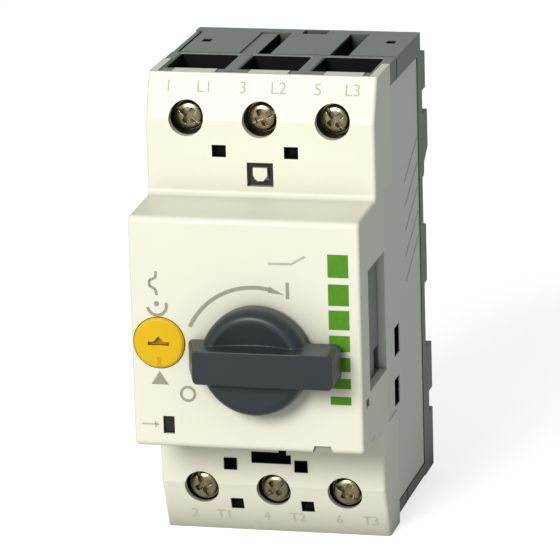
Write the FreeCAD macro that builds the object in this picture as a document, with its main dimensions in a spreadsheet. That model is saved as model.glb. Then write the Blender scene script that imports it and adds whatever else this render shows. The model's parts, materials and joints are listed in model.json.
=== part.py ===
import FreeCAD, Part
import os
import re
import Sketcher

# Motor protection breaker, three poles, 45 mm wide, snapped onto a 35 mm top-hat rail.
# Frame: +X to the right of a person facing the breaker, -Y out of its front, +Z up.
# The origin is the centre of the face that lies on the rail, at half width and half height.
# A pole is numbered 1 to 3 from the left. "Line" is the upper end and "load" the lower end.

doc = FreeCAD.newDocument("motor_protection_breaker")
sheet = doc.addObject("Spreadsheet::Sheet", "dims")

DIMENSIONS = {
    # whole housing
    "half_width": 22.5, "half_height": 46.5, "wall": 1.6,
    "pole_one": -14.5, "pole_two": 0.0, "pole_three": 14.3,
    "partition": 7.2, "partition_half": 0.6,
    # front hood: depths of its faces in front of the rail plane
    "face": 59.5, "face_top": 22.7, "face_bottom": 22.9,
    "shoulder": 44.0, "shoulder_crease": 38.0, "shoulder_edge": 40.5,
    "chin": 41.8, "chin_crease": 36.0, "chin_edge": 37.1,
    "shoulder_seam": 29.0, "centre_seam": 37.0, "chin_seam": 28.4, "ledge": 23.2,
    "corner_round": 1.2, "edge_round": 0.7, "tab_height": 1.2,
    # terminals
    "line_screw_level": 38.2, "load_screw_level": 37.0, "load_setback": 2.2,
    "screw_hole_r": 3.45, "screw_head_r": 3.2, "screw_head_front": 41.8, "screw_head_back": 39.4,
    "screw_thread_r": 1.95, "thread_fit": 0.05, "screw_tip": 34.8,
    "cage_half_width": 5.6, "cage_inner": 4.5, "cage_half_height": 3.7,
    "cage_front": 36.4, "cage_front_inner": 34.8, "cage_back_inner": 26.5, "cage_back": 25.0,
    "bar_half_width": 4.0, "bar_front": 34.5, "bar_back": 33.3, "bar_end": 41.5,
    "entry_half": 5.6, "entry_front": 36.6, "entry_back": 24.0,
    # rear base and rail hooks
    "deck_level": 42.2, "base_wall": 3.5, "seat_relief": 0.4, "seat_half_x": 16.0, "seat_half_z": 15.5,
    "hook_depth": 7.0, "lip_start": 1.3, "lip_end": 3.2, "lip_tip": 16.4, "hook_start": 18.6,
    "channel_half": 8.3, "channel_floor": 2.0, "foot_half": 7.9,
    # rotary knob
    "knob_x": 2.6, "knob_z": -4.0, "knob_r": 10.6, "knob_rim": 66.0, "knob_back": 60.2, "knob_scoop": 3.6,
    "grip_front": 69.0, "grip_back": 61.3, "grip_left": 12.4, "grip_right": 15.9, "grip_half": 3.6,
    "shaft_r": 3.0, "shaft_fit": 0.05,
    # setting dial and test lever
    "dial_x": -17.0, "dial_z": -2.1, "dial_r": 5.0, "dial_front": 60.1,
    "test_left": -16.75, "test_right": -14.5, "test_low": -20.2, "test_high": -16.7, "test_gap": 0.25,
    # switching mechanism
    "frame_front": 42.2, "frame_back": 41.0, "toggle_y": 39.4, "toggle_z": 20.5, "toggle_pin_r": 0.9,
    "carrier_front": 36.8, "carrier_low": 10.0, "carrier_high": 16.0,
    "contact_high": 18.5, "contact_low": 7.5, "contact_r": 1.7, "bridge_back": 30.15,
    "fixed_contact_front": 26.2, "contact_bar_front": 25.2, "contact_bar_back": 24.0,
    # magnetic release
    "coil_y": 10.2, "coil_r": 3.7, "coil_wire_r": 0.8, "coil_start": 6.2, "coil_pitch": 2.2,
    "coil_turns": 5.5,
    "plunger_r": 1.8, "plunger_top": 13.5, "spring_seat": 2.95, "collar_top": -5.0,
    # thermal release
    "bimetal_y": 14.7, "bimetal_foot": 30.0, "bimetal_tip": 9.0,
    "trip_front": 19.3, "trip_back": 17.3, "trip_low": 10.5, "trip_high": 7.5,
}

for row, (alias, value) in enumerate(DIMENSIONS.items(), start=1):
    sheet.set(f"A{row}", alias)
    sheet.set(f"B{row}", str(value))
    sheet.setAlias(f"B{row}", alias)
doc.recompute()

ALIASES = re.compile(r"\b(" + "|".join(DIMENSIONS) + r")\b")
TO_FRONT = FreeCAD.Rotation(FreeCAD.Vector(1, 0, 0), 90)
UPRIGHT = FreeCAD.Rotation()
POLES = {1: "pole_one", 2: "pole_two", 3: "pole_three"}
TABS = [("-18.1", "-9.7"), ("-3.1", "4.7"), ("11.8", "19.4")]
parts = []


# ---------------------------------------------------------------- small tools

def bound(text):
    """A size as a spreadsheet expression: every dimension's name gets its sheet in front."""
    return ALIASES.sub(r"dims.\1", str(text))


def size(text):
    """The present value of a size, in millimetres."""
    return float(sheet.evalExpression(bound(text)))


def new_body(label):
    body = doc.addObject("PartDesign::Body", label)
    body.Label = label
    parts.append(body)
    return body


def rect(x_low, x_high, y_low, y_high):
    return ("polygon", [(x_low, y_low), (x_high, y_low), (x_high, y_high), (x_low, y_high)])


def polygon(*points):
    return ("polygon", list(points))


def circle(x, y, radius):
    return ("circle", (x, y, radius))


def fix_point(sketch, geometry, vertex, x, y):
    """Ties one point of a sketch to its two coordinates from the spreadsheet."""
    for kind, text in (("DistanceX", x), ("DistanceY", y)):
        number = sketch.addConstraint(Sketcher.Constraint(kind, -1, 1, geometry, vertex, size(text)))
        sketch.setExpression(f"Constraints[{number}]", bound(text))


def draw(sketch, outline):
    kind, data = outline
    if kind == "circle":
        x, y, radius = data
        centre = FreeCAD.Vector(size(x), size(y), 0)
        ring = sketch.addGeometry(Part.Circle(centre, FreeCAD.Vector(0, 0, 1), size(radius)), False)
        fix_point(sketch, ring, 3, x, y)
        number = sketch.addConstraint(Sketcher.Constraint("Radius", ring, size(radius)))
        sketch.setExpression(f"Constraints[{number}]", bound(radius))
        return
    corners = [FreeCAD.Vector(size(x), size(y), 0) for x, y in data]
    lines = []
    for start, end in zip(corners, corners[1:] + corners[:1]):
        lines.append(sketch.addGeometry(Part.LineSegment(start, end), False))
    for line, following in zip(lines, lines[1:] + lines[:1]):
        sketch.addConstraint(Sketcher.Constraint("Coincident", line, 2, following, 1))
    for line, (x, y) in zip(lines, data):
        fix_point(sketch, line, 1, x, y)


# A sketch's own axes are XY: X and Y, XZ: X and Z, YZ: Y and Z. The XZ plane faces -Y.
FACING = {"XY": 1, "XZ": -1, "YZ": 1}


def new_sketch(body, name, plane, level, outlines):
    sketch = body.newObject("Sketcher::SketchObject", name)
    origin_plane = [item for item in body.Origin.OriginFeatures if item.Role == plane + "_Plane"][0]
    sketch.AttachmentSupport = (origin_plane, [""])
    sketch.MapMode = "FlatFace"
    sign = "" if FACING[plane] > 0 else "-"
    sketch.setExpression("AttachmentOffset.Base.z", f"{sign}({bound(level)})")
    for outline in outlines:
        draw(sketch, outline)
    return sketch


def pad(body, name, plane, low, high, *outlines):
    """Adds a block between two levels along the plane's normal, low and high in frame coordinates."""
    start = low if FACING[plane] > 0 else high
    sketch = new_sketch(body, name + "_sketch", plane, start, outlines)
    feature = body.newObject("PartDesign::Pad", name)
    feature.Profile = sketch
    feature.setExpression("Length", f"({bound(high)}) - ({bound(low)})")
    return feature


def cut(body, name, plane, low, high, *outlines):
    """Takes away a block between two levels, and checks that material really went."""
    doc.recompute()
    before = body.Shape.Volume
    start = high if FACING[plane] > 0 else low
    sketch = new_sketch(body, name + "_sketch", plane, start, outlines)
    feature = body.newObject("PartDesign::Pocket", name)
    feature.Profile = sketch
    feature.setExpression("Length", f"({bound(high)}) - ({bound(low)})")
    doc.recompute()
    if body.Shape.Volume >= before - 1e-6:
        raise RuntimeError(f"{name} removed nothing from {body.Label}")
    return feature


def round_edges(body, name, radius, wanted, kind="Fillet"):
    """Rounds or bevels the edges that the test 'wanted' picks from the body as it stands."""
    doc.recompute()
    shape = body.Shape
    names = [f"Edge{i}" for i, edge in enumerate(shape.Edges, start=1) if wanted(edge)]
    if not names:
        raise RuntimeError(f"{name} found no edge on {body.Label}")
    base = body.Tip
    feature = body.newObject("PartDesign::" + kind, name)
    feature.Base = (base, names)
    feature.setExpression("Radius" if kind == "Fillet" else "Size", bound(radius))
    doc.recompute()
    if body.Shape.isNull() or not body.Shape.isValid():
        raise RuntimeError(f"{name} failed on {body.Label}")
    return feature


def ends(edge):
    return [vertex.Point for vertex in edge.Vertexes]


def on_line(edge, **coordinates):
    """True where every end of the edge has the given coordinates."""
    return all(abs(getattr(point, axis) - value) < 1e-3
               for point in ends(edge) for axis, value in coordinates.items())


def coil(label, radius, wire_r, height, pitch, placement):
    """A round-wire spring or winding along its own Z axis, then put in place."""
    spine = doc.addObject("Part::Helix", label + "_spine")
    spine.setExpression("Radius", bound(radius))
    spine.setExpression("Height", bound(height))
    spine.setExpression("Pitch", bound(pitch))
    wire = doc.addObject("Part::Circle", label + "_wire")
    wire.setExpression("Radius", bound(wire_r))
    wire.Placement = FreeCAD.Placement(FreeCAD.Vector(size(radius), 0, 0), TO_FRONT)
    sweep = doc.addObject("Part::Sweep", label)
    sweep.Sections = [wire]
    sweep.Spine = (spine, [])
    sweep.Solid = True
    sweep.Frenet = True
    sweep.Placement = placement
    return sweep


def at(x, y, z, rotation=UPRIGHT):
    return FreeCAD.Placement(FreeCAD.Vector(size(x), size(y), size(z)), rotation)


def group(label, members):
    """Separate solids that share one node."""
    compound = doc.addObject("Part::Compound", label + "_group")
    compound.Links = members
    compound.Label = label
    parts.append(compound)
    return compound


# ---------------------------------------------------------------- housing

def make_front_hood():
    """The cream cover: a stepped box, open at the back, with every opening of the front."""
    hood = new_body("front_hood")
    pad(hood, "hood_block", "YZ", "-half_width", "half_width", polygon(
        ("-shoulder_seam", "half_height"), ("-shoulder_edge", "half_height"),
        ("-shoulder", "shoulder_crease"), ("-shoulder", "ledge"),
        ("-face", "face_top"), ("-face", "-face_bottom"),
        ("-chin", "-ledge - 0.4"), ("-chin + 0.6", "-chin_crease"), ("-chin_edge", "-half_height"),
        ("-chin_seam", "-half_height"), ("-chin_seam", "-ledge"), ("-centre_seam", "-ledge"),
        ("-centre_seam", "ledge"), ("-shoulder_seam", "ledge")))
    front_corners = [(-size("face"), size("face_top")), (-size("face"), -size("face_bottom")),
                     (-size("shoulder"), size("ledge"))]
    round_edges(hood, "hood_corners", "corner_round",
                lambda edge: any(on_line(edge, y=y, z=z) for y, z in front_corners))

    def side_edge(edge):
        points = ends(edge)
        same_side = abs(points[0].x - points[-1].x) < 1e-3
        outer = abs(abs(points[0].x) - size("half_width")) < 1e-3
        in_front = all(point.y < -size("centre_seam") - 0.05 for point in points)
        along_back = all(abs(point.z) > size("half_height") - 1e-3 for point in points)
        return same_side and outer and in_front and not along_back

    round_edges(hood, "hood_edges", "edge_round", side_edge)
    cut(hood, "hood_hollow", "YZ", "-half_width + wall", "half_width - wall", polygon(
        ("-20", "half_height + 1"), ("-shoulder_edge + wall - 0.4", "half_height + 1"),
        ("-shoulder + wall", "shoulder_crease - 0.4"), ("-shoulder + wall", "ledge - wall"),
        ("-face + wall", "face_top - wall"), ("-face + wall", "-face_bottom + wall"),
        ("-chin + wall", "-face_bottom + wall"), ("-chin + wall + 0.6", "-chin_crease + 0.4"),
        ("-chin_edge + wall - 0.4", "-half_height - 1"), ("-20", "-half_height - 1")))

    # three tabs of the top edge and three of the bottom edge bridge the conductor entries
    pad(hood, "top_tabs", "XY", "half_height - tab_height", "half_height",
        *[rect(low, high, "-shoulder_edge + 0.2", "-entry_front - 0.2") for low, high in TABS])
    pad(hood, "bottom_tabs", "XY", "-half_height", "-half_height + tab_height",
        *[rect(low, high, "-chin_edge + 0.2", "-entry_front + load_setback - 0.2") for low, high in TABS])

    poles = list(POLES.values())
    cut(hood, "line_screw_holes", "XZ", "-shoulder - 1", "-shoulder + 6",
        *[circle(pole, "line_screw_level", "screw_hole_r") for pole in poles])
    cut(hood, "load_screw_holes", "XZ", "-chin - 1", "-chin + 6",
        *[circle(pole, "-load_screw_level", "screw_hole_r") for pole in poles])
    cut(hood, "line_test_holes", "XZ", "-shoulder - 1", "-shoulder + 2",
        *[rect(f"{x} - 1.4", f"{x} + 1.4", "30.8", "33.2") for x in (-8.1, 6.1)])
    cut(hood, "load_test_holes", "XZ", "-chin - 1", "-chin + 4",
        *[rect(f"{x} - 1.3", f"{x} + 1.3", f"{z} - 1.2", f"{z} + 1.2")
          for x, z in ((-8.4, -31.6), (5.8, -31.6), (-7.7, -40.4), (6.5, -40.4))])
    cut(hood, "load_latch_slot", "XZ", "-chin - 1", "-chin + 3", polygon(
        ("-4.1", "-31.2"), ("3.8", "-31.2"), ("3.8", "-29.4"), ("2.9", "-29.4"), ("2.9", "-28.1"),
        ("1.4", "-28.1"), ("1.4", "-28.9"), ("-4.1", "-28.9")))
    cut(hood, "line_latch_groove", "XZ", "-shoulder - 1", "-shoulder + 1.1",
        rect("-2.7", "2.5", "25.2", "29.9"),
        polygon(("-1.5", "27.3"), ("-0.7", "26.3"), ("0.5", "26.3"), ("1.3", "27.3"),
                ("1.3", "28.9"), ("-1.5", "28.9")))
    cut(hood, "knob_bearing", "XZ", "-face - 1", "-face + 3",
        circle("knob_x", "knob_z", "shaft_r + shaft_fit"))
    cut(hood, "dial_hole", "XZ", "-face - 1", "-face + 3", circle("dial_x", "dial_z", "dial_r + 0.15"))
    cut(hood, "test_slot", "XZ", "-face - 1", "-face + 3",
        rect("test_left", "test_right", "test_low", "test_high"))
    cut(hood, "seal_notch", "XZ", "-face - 1", "-face + 0.8",
        polygon(("12", "-24"), ("16.9", "-24"), ("16.1", "-21.4"), ("12.9", "-21.4")))
    for side, low, high in (("right", "half_width - 3", "half_width + 1"),
                            ("left", "-half_width - 1", "-half_width + 3")):
        cut(hood, f"{side}_port", "YZ", low, high, rect("-52.6", "-centre_seam + 1", "-12.2", "11.6"),
            rect("-56.2", "-53.6", "-14.6", "-13"),
            rect("-54", "-49", "-face_bottom - 1", "-face_bottom + 1.2"))
    return hood


def make_mid_housing():
    """The light grey middle: two sides, two walls between the poles, and the ends that join them."""
    housing = new_body("mid_housing")
    outer = "half_width - 0.2"
    inner = "half_width - wall - 0.2"
    side_profile = polygon(
        ("-centre_seam", "-ledge"), ("-centre_seam", "ledge"), ("-shoulder_seam", "ledge"),
        ("-shoulder_seam", "deck_level - 0.2"), ("-base_wall - 0.1", "deck_level - 0.2"),
        ("-base_wall - 0.1", "-deck_level + 0.2"), ("-chin_seam", "-deck_level + 0.2"),
        ("-chin_seam", "-ledge"))
    pad(housing, "right_side", "YZ", inner, outer, side_profile)
    pad(housing, "top_end", "XY", "deck_level - 1.6", "deck_level - 0.2",
        rect(f"-({inner}) - 0.5", f"{inner} + 0.5", "-entry_back + 1.2", "-base_wall - 0.1"))
    pad(housing, "bottom_end", "XY", "-deck_level + 0.2", "-deck_level + 1.6",
        rect(f"-({inner}) - 0.5", f"{inner} + 0.5", "-entry_back + load_setback + 1.2", "-base_wall - 0.1"))
    pad(housing, "left_side", "YZ", f"-({outer})", f"-({inner})", side_profile)
    for name, centre in (("left_wall", "-partition"), ("right_wall", "partition")):
        pad(housing, name, "YZ", f"{centre} - partition_half", f"{centre} + partition_half", polygon(
            ("-centre_seam - 0.2", "-ledge + 2.2"), ("-centre_seam - 0.2", "deck_level - 0.2"),
            ("-base_wall - 0.1", "deck_level - 0.2"), ("-base_wall - 0.1", "-deck_level + 0.2"),
            ("-centre_seam + 3", "-deck_level + 0.2"), ("-centre_seam + 3", "-ledge + 2.2")))
    cut(housing, "carrier_gap", "YZ", "-partition - 2", "partition + 2",
        rect("-centre_seam - 1", "-carrier_front + 4.6", "carrier_low - 0.6", "carrier_high + 0.6"))
    cut(housing, "trip_gap", "YZ", "-partition - 2", "partition + 2",
        rect("-trip_front - 0.6", "-trip_back + 0.6", "-trip_low - 0.6", "-trip_high + 0.6"))
    for side, low, high in (("right", inner + " - 1", "half_width + 1"),
                            ("left", "-half_width - 1", f"-({inner}) + 1")):
        cut(housing, f"{side}_slots", "YZ", low, high,
            rect("-29.2", "-24.4", "-12.3", "-6.4"), rect("-29.8", "-25.2", "-22.4", "-16.8"))
    # five slanted ribs stand out of each side, towards the back
    ribs = [polygon(("-17.5", f"{z}"), ("-16.7", f"{z}"), ("-4.2", f"{z} + 6"), ("-5", f"{z} + 6"))
            for z in (0, 5, 10, 15, 20)]
    pad(housing, "right_ribs", "YZ", outer, "half_width", *ribs)
    pad(housing, "left_ribs", "YZ", "-half_width", f"-({outer})", *ribs)
    return housing


def make_terminal_deck(label, up, setback, front):
    """The dark shroud over three conductor entries. It stands inside the hood's sides."""
    deck = new_body(label)
    levels = ("deck_level", "half_height - 0.1") if up > 0 else ("-half_height + 0.1", "-deck_level")
    inside = "half_width - wall - 0.2"
    seam = "-shoulder_seam + 0.2" if up > 0 else "-chin_seam + 0.2"
    back = f"-entry_back + {setback} + 1.3"
    pad(deck, "shroud", "XY", *levels, polygon(
        (f"-({inside})", front), (inside, front), (inside, seam), ("half_width - 0.1", seam),
        ("half_width - 0.1", back), ("-half_width + 0.1", back), ("-half_width + 0.1", seam),
        (f"-({inside})", seam)))
    cut(deck, "conductor_entries", "XY", levels[0] + " - 1", levels[1] + " + 1",
        *[rect(f"{pole} - entry_half", f"{pole} + entry_half", f"-entry_front + {setback}",
               f"-entry_back + {setback}") for pole in POLES.values()])
    seats = ("half_height - tab_height - 0.2", "half_height + 1")
    if up < 0:
        seats = ("-half_height - 1", "-half_height + tab_height + 0.2")
    cut(deck, "tab_seats", "XY", *seats,
        *[rect(f"{low} - 0.2", f"{high} + 0.2", f"{front} - 1", f"-entry_front + {setback}")
          for low, high in TABS])
    mouth = size(levels[1] if up > 0 else levels[0])

    def mouth_edge(edge):
        points = ends(edge)
        level = all(abs(point.z - mouth) < 1e-3 for point in points)
        inner_y = all(-size("entry_front") + size(setback) - 1e-3 < point.y
                      < -size("entry_back") + size(setback) + 1e-3 for point in points)
        inner_x = all(any(abs(abs(point.x - size(pole)) - size("entry_half")) < 1e-3
                          for pole in POLES.values()) for point in points)
        return level and inner_y and inner_x

    round_edges(deck, "entry_funnels", "0.5", mouth_edge, kind="Chamfer")
    if up < 0:
        round_edges(deck, "lower_sides", "1.7", lambda edge: is_lower_side(edge, 0.1), kind="Chamfer")
    return deck


def is_lower_side(edge, inset):
    """The lowest edge of either side, which runs from the front to the back."""
    side = size("half_width") - inset
    low = -size("half_height") + inset
    first, last = ends(edge)
    return (abs(first.x - last.x) < 1e-3
            and all(abs(abs(point.x) - side) < 1e-3 and abs(point.z - low) < 1e-3 for point in (first, last)))


def make_rear_base():
    """The dark back: wall, rail seat, fixed hook, feet, and the two ends with their raised panels."""
    base = new_body("rear_base")
    pad(base, "back_wall", "XZ", "-base_wall", "-seat_relief",
        rect("-half_width", "half_width", "-half_height", "half_height"))
    pad(base, "rail_seat", "XZ", "-seat_relief - 1", "0",
        rect("-seat_half_x", "seat_half_x", "-seat_half_z", "seat_half_z"))
    line_end = "-entry_back + 1.5"
    load_end = "-entry_back + load_setback + 1.5"
    pad(base, "top_floor", "XY", "deck_level", "half_height - 3.2",
        rect("-half_width", "half_width", line_end, "-seat_relief"))
    panels = [("-20.8", "-8.9"), ("-2.6", "9.2"), ("13", "half_width")]
    pad(base, "top_panels", "XY", "deck_level + 0.5", "half_height",
        *[rect(low, high, line_end, "-2.2") for low, high in panels])
    pad(base, "top_ribs", "XY", "deck_level + 0.5", "half_height - 0.3",
        rect("-half_width", "-half_width + 0.9", line_end, "-seat_relief"),
        rect("-9", "-5.5", line_end, "-2.2"))
    pad(base, "bottom_floor", "XY", "-half_height", "-deck_level",
        rect("-half_width", "half_width", load_end, "-seat_relief"))
    cut(base, "panel_notches", "XY", "half_height - 1.2", "half_height + 1",
        rect("-18.9", "-17.1", "-13.5", "-10.8"), rect("-0.6", "4.4", "-4.4", "-1"),
        rect("17.8", "19.6", "-11.3", "-8.6"))
    round_edges(base, "lower_sides", "2", lambda edge: is_lower_side(edge, 0), kind="Chamfer")

    # what stands behind the rail plane, from the top down
    side = "half_width - 0.4"
    pad(base, "upper_foot", "XZ", "-seat_relief - 1", "5.6", rect(f"-({side})", side, "34", "41.5"))
    pad(base, "upper_step", "XZ", "-seat_relief - 1", "2.4", rect(f"-({side})", side, "29", "34.5"))
    pad(base, "fixed_hook", "YZ", f"-({side})", side, polygon(
        ("-seat_relief - 1", "29.2"), ("-seat_relief - 1", "hook_start"), ("lip_start", "hook_start"),
        ("lip_start", "lip_tip"), ("lip_end - 0.6", "lip_tip"), ("lip_end", "lip_tip + 0.6"),
        ("lip_end", "hook_start + 0.4"), ("hook_depth", "21.6"), ("hook_depth", "29.2")))
    for name, low, high in (("right_boss", "18", side), ("left_boss", f"-({side})", "-18")):
        pad(base, name, "XZ", "-seat_relief - 1", "4", rect(low, high, "-5.6", "6.2"))
    for name, low, high in (("right_foot", "channel_half + 1.2", side),
                            ("left_foot", f"-({side})", "-channel_half - 1.2")):
        pad(base, name + "_hook", "XZ", "-seat_relief - 1", "hook_depth", rect(low, high, "-29", "-19.3"))
        pad(base, name + "_step", "XZ", "-seat_relief - 1", "3.8", rect(low, high, "-33.9", "-28.5"))
        pad(base, name + "_block", "XZ", "-seat_relief - 1", "hook_depth", rect(low, high, "-45.4", "-33.2"))
    cut(base, "foot_channel", "XZ", "-channel_floor", "hook_depth + 1",
        rect("-channel_half", "channel_half", "-half_height - 1", "-seat_half_z"))
    pad(base, "spring_lug", "XZ", "-channel_floor - 0.5", "0.8", rect("-2", "2", "-37.5", "-36"))
    pad(base, "foot_guides", "XZ", "1.3", "2.4",
        rect("-channel_half - 1.6", "-channel_half + 1.2", "-42", "-32.5"),
        rect("channel_half - 1.2", "channel_half + 1.6", "-42", "-32.5"))
    return base


def make_port_panels():
    """The dark floor of the accessory port in each side of the hood, with its drive slot."""
    for label, low, high in (("side_port_panel_right", "20.1", "20.85"),
                             ("side_port_panel_left", "-20.85", "-20.1")):
        panel = new_body(label)
        pad(panel, "plate", "YZ", low, high, rect("-53.2", "-centre_seam - 0.4", "-12.9", "12.3"))
        cut(panel, "drive_slot", "YZ", low + " - 1", high + " + 1", rect("-41.8", "-38", "-11.9", "-7.2"))
        cut(panel, "latch_slot", "YZ", low + " - 1", high + " + 1", rect("-50.5", "-47.9", "5.2", "8.6"))


# ---------------------------------------------------------------- terminals

def make_terminal(end, number, pole):
    """One box terminal: a screw that turns in place, and the cage that it draws towards its head."""
    line = end == "line"
    level = "line_screw_level" if line else "-load_screw_level"
    shift = "0" if line else "load_setback"
    screw = new_body(f"{end}_screw_{number}")
    pad(screw, "head", "XZ", f"-screw_head_front + {shift}", f"-screw_head_back + {shift}",
        circle(pole, level, "screw_head_r"))
    round_edges(screw, "head_round", "0.5", lambda edge: all(
        abs(point.y + size("screw_head_front") - size(shift)) < 1e-3 for point in ends(edge)))
    pad(screw, "thread", "XZ", f"-screw_head_back + {shift} - 0.2", f"-screw_tip + {shift}",
        circle(pole, level, "screw_thread_r"))
    cut(screw, "driver_slot", "XZ", f"-screw_head_front + {shift} - 1", f"-screw_head_front + {shift} + 1.2",
        rect(f"{pole} - 4", f"{pole} + 4", f"{level} - 0.5", f"{level} + 0.5"))
    cut(screw, "driver_cross", "XZ", f"-screw_head_front + {shift} - 1", f"-screw_head_front + {shift} + 1.6",
        rect(f"{pole} - 0.5", f"{pole} + 0.5", f"{level} - 1.9", f"{level} + 1.9"))
    cage = new_body(f"{end}_cage_{number}")
    pad(cage, "frame", "XY", f"{level} - cage_half_height", f"{level} + cage_half_height",
        rect(f"{pole} - cage_half_width", f"{pole} + cage_half_width", f"-cage_front + {shift}",
             f"-cage_back + {shift}"),
        rect(f"{pole} - cage_inner", f"{pole} + cage_inner", f"-cage_front_inner + {shift}",
             f"-cage_back_inner + {shift}"))
    cut(cage, "thread_hole", "XZ", f"-cage_front + {shift} - 1", f"-cage_front_inner + {shift} + 1",
        circle(pole, level, "screw_thread_r + thread_fit"))


def make_bars():
    """Copper bars of the three poles, from each terminal to what it feeds."""
    line_bars = []
    contact_bars = []
    load_bars = []
    for number, pole in POLES.items():
        width = (f"{pole} - bar_half_width", f"{pole} + bar_half_width")
        bar = doc.addObject("PartDesign::Body", f"line_bar_{number}")
        pad(bar, "strip", "YZ", *width, polygon(
            ("-bar_front", "24"), ("-bar_front", "bar_end"), ("-bar_back", "bar_end"),
            ("-bar_back", "25.2"), ("-contact_bar_back", "25.2"), ("-contact_bar_back", "16.3"),
            ("-contact_bar_front", "16.3"), ("-contact_bar_front", "24")))
        pad(bar, "fixed_contact", "XZ", "-fixed_contact_front", "-contact_bar_front + 0.2",
            circle(pole, "contact_high", "contact_r"))
        line_bars.append(bar)
        bar = doc.addObject("PartDesign::Body", f"contact_bar_{number}")
        pad(bar, "strip", "YZ", *width, polygon(
            ("-contact_bar_front", "5.2"), ("-contact_bar_front", "9.5"), ("-contact_bar_back", "9.5"),
            ("-contact_bar_back", "6.4"), ("-coil_y - coil_r - 1.1", "6.4"),
            ("-coil_y - coil_r - 1.1", "5.2")))
        pad(bar, "fixed_contact", "XZ", "-fixed_contact_front", "-contact_bar_front + 0.2",
            circle(pole, "contact_low", "contact_r"))
        contact_bars.append(bar)
        bar = doc.addObject("PartDesign::Body", f"load_bar_{number}")
        pad(bar, "strip", "YZ", *width, polygon(
            ("-bar_front + load_setback", "-40.6"), ("-bar_front + load_setback", "-bimetal_foot"),
            ("-bimetal_y + 1.5", "-bimetal_foot"), ("-bimetal_y + 1.5", "-bimetal_foot - 1.2"),
            ("-bar_back + load_setback", "-bimetal_foot - 1.2"), ("-bar_back + load_setback", "-40.6")))
        load_bars.append(bar)
    group("line_terminal_bars", line_bars)
    group("coil_contact_bars", contact_bars)
    group("load_terminal_bars", load_bars)


# ---------------------------------------------------------------- operating parts on the front

def make_knob():
    """The rotary handle: a scooped disc crossed by a long grip, on a steel shaft with a drive cam."""
    knob = new_body("rotary_knob")
    pad(knob, "disc", "XZ", "-knob_rim", "-knob_back", circle("knob_x", "knob_z", "knob_r"))
    round_edges(knob, "disc_round", "0.6", lambda edge: all(
        abs(point.y + size("knob_rim")) < 1e-3 for point in ends(edge)))
    cut(knob, "scoop", "XZ", "-knob_rim - 1", "-knob_rim + knob_scoop",
        circle("knob_x", "knob_z", "knob_r - 1.3"))
    pad(knob, "grip", "XZ", "-grip_front", "-grip_back",
        rect("knob_x - grip_left", "knob_x + grip_right", "knob_z - grip_half", "knob_z + grip_half"))
    round_edges(knob, "grip_ends", "2", lambda edge: abs(edge.tangentAt(edge.FirstParameter).y) > 0.9
                and any(on_line(edge, x=size(x)) for x in ("knob_x - grip_left", "knob_x + grip_right")))
    round_edges(knob, "grip_round", "0.8", lambda edge: on_line(edge, y=-size("grip_front")))
    cut(knob, "shaft_socket", "XZ", "-knob_rim + 1", "-knob_back + 1",
        circle("knob_x", "knob_z", "shaft_r + 0.02"))

    shaft = new_body("knob_shaft")
    pad(shaft, "rod", "XZ", "-knob_rim + 1.5", "-38.6", circle("knob_x", "knob_z", "shaft_r"))
    pad(shaft, "cam", "XZ", "-40.6", "-38.6", circle("knob_x", "knob_z", "6"))
    pad(shaft, "cam_lobe", "XZ", "-40.6", "-38.6",
        rect("knob_x - 8", "knob_x", "knob_z - 2", "knob_z + 2"))


def make_dial():
    """The current-setting dial: a shouldered button with a pointer slot, and its eccentric below."""
    dial = new_body("setting_dial")
    pad(dial, "button", "XZ", "-dial_front", "-face + wall + 0.2", circle("dial_x", "dial_z", "dial_r"))
    pad(dial, "flange", "XZ", "-face + wall + 0.2", "-face + wall + 1",
        circle("dial_x", "dial_z", "dial_r - 1.2"))
    pad(dial, "stem", "XZ", "-face + wall", "-46", circle("dial_x", "dial_z", "2"))
    pad(dial, "eccentric", "XZ", "-48", "-46", circle("dial_x + 0.5", "dial_z", "2.4"))
    cut(dial, "pointer_slot", "XZ", "-dial_front - 1", "-dial_front + 1.1", polygon(
        ("dial_x - 2.1", "dial_z - 0.4"), ("dial_x + 2.1", "dial_z - 0.4"), ("dial_x + 2.1", "dial_z + 0.3"),
        ("dial_x + 1", "dial_z + 0.3"), ("dial_x", "dial_z + 1.4"), ("dial_x - 1", "dial_z + 0.3"),
        ("dial_x - 2.1", "dial_z + 0.3")))
    round_edges(dial, "button_round", "0.35", lambda edge: len(edge.Vertexes) == 1 and all(
        abs(point.y + size("dial_front")) < 1e-3 for point in ends(edge)))


def make_test_lever():
    """The lever behind the test slot: pushed in, its tail moves the trip slide."""
    lever = new_body("test_lever")
    pad(lever, "bar", "XZ", "-face + 0.6", "-21", rect(
        "test_left + test_gap", "test_right - test_gap", "test_low + test_gap", "test_high - test_gap"))
    pad(lever, "stop", "XZ", "-face + wall + 0.3", "-face + wall + 1.5", rect(
        "test_left - 0.8", "test_right + 0.8", "test_low + test_gap", "test_high - test_gap"))


# ---------------------------------------------------------------- switching mechanism

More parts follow.
